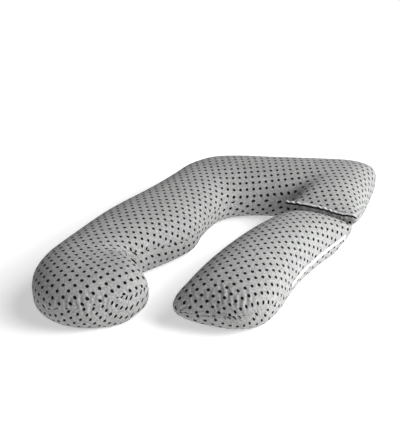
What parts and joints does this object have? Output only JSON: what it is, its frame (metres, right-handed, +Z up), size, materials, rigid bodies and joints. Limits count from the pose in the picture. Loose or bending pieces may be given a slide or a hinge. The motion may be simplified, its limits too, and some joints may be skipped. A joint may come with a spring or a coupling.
{
  "type": "pregnancy pillow",
  "caption": "U-shaped body pillow with a hooked front end and a side arm joined by a hook-and-loop strip, in dotted grey jersey.",
  "frame": {"origin": "middle of the bounding box in plan, on the flat underside", "axes": "+Y from the two front ends towards the head bar, +X towards the detachable arm, +Z up through the thickness"},
  "size_m": [0.803, 1.3474, 0.178],
  "materials": {
    "cover_cloth": "soft heather grey cotton jersey with a regular repeat of small near-black dots",
    "joint_tape": "matt near-black hook-and-loop strip",
    "zip_tape": "white woven zip tape with a closed coil of white teeth",
    "zip_slider": "pale painted zip slider and pull"
  },
  "bodies": {
    "root": {"main_pillow": "cover_cloth", "side_arm": "cover_cloth", "main_lip": "cover_cloth", "arm_lip": "cover_cloth", "joint_tape": "joint_tape", "zip_tape": "zip_tape", "zip_slider": "zip_slider", "zip_pull": "zip_slider"}
  },
  "joints": []
}
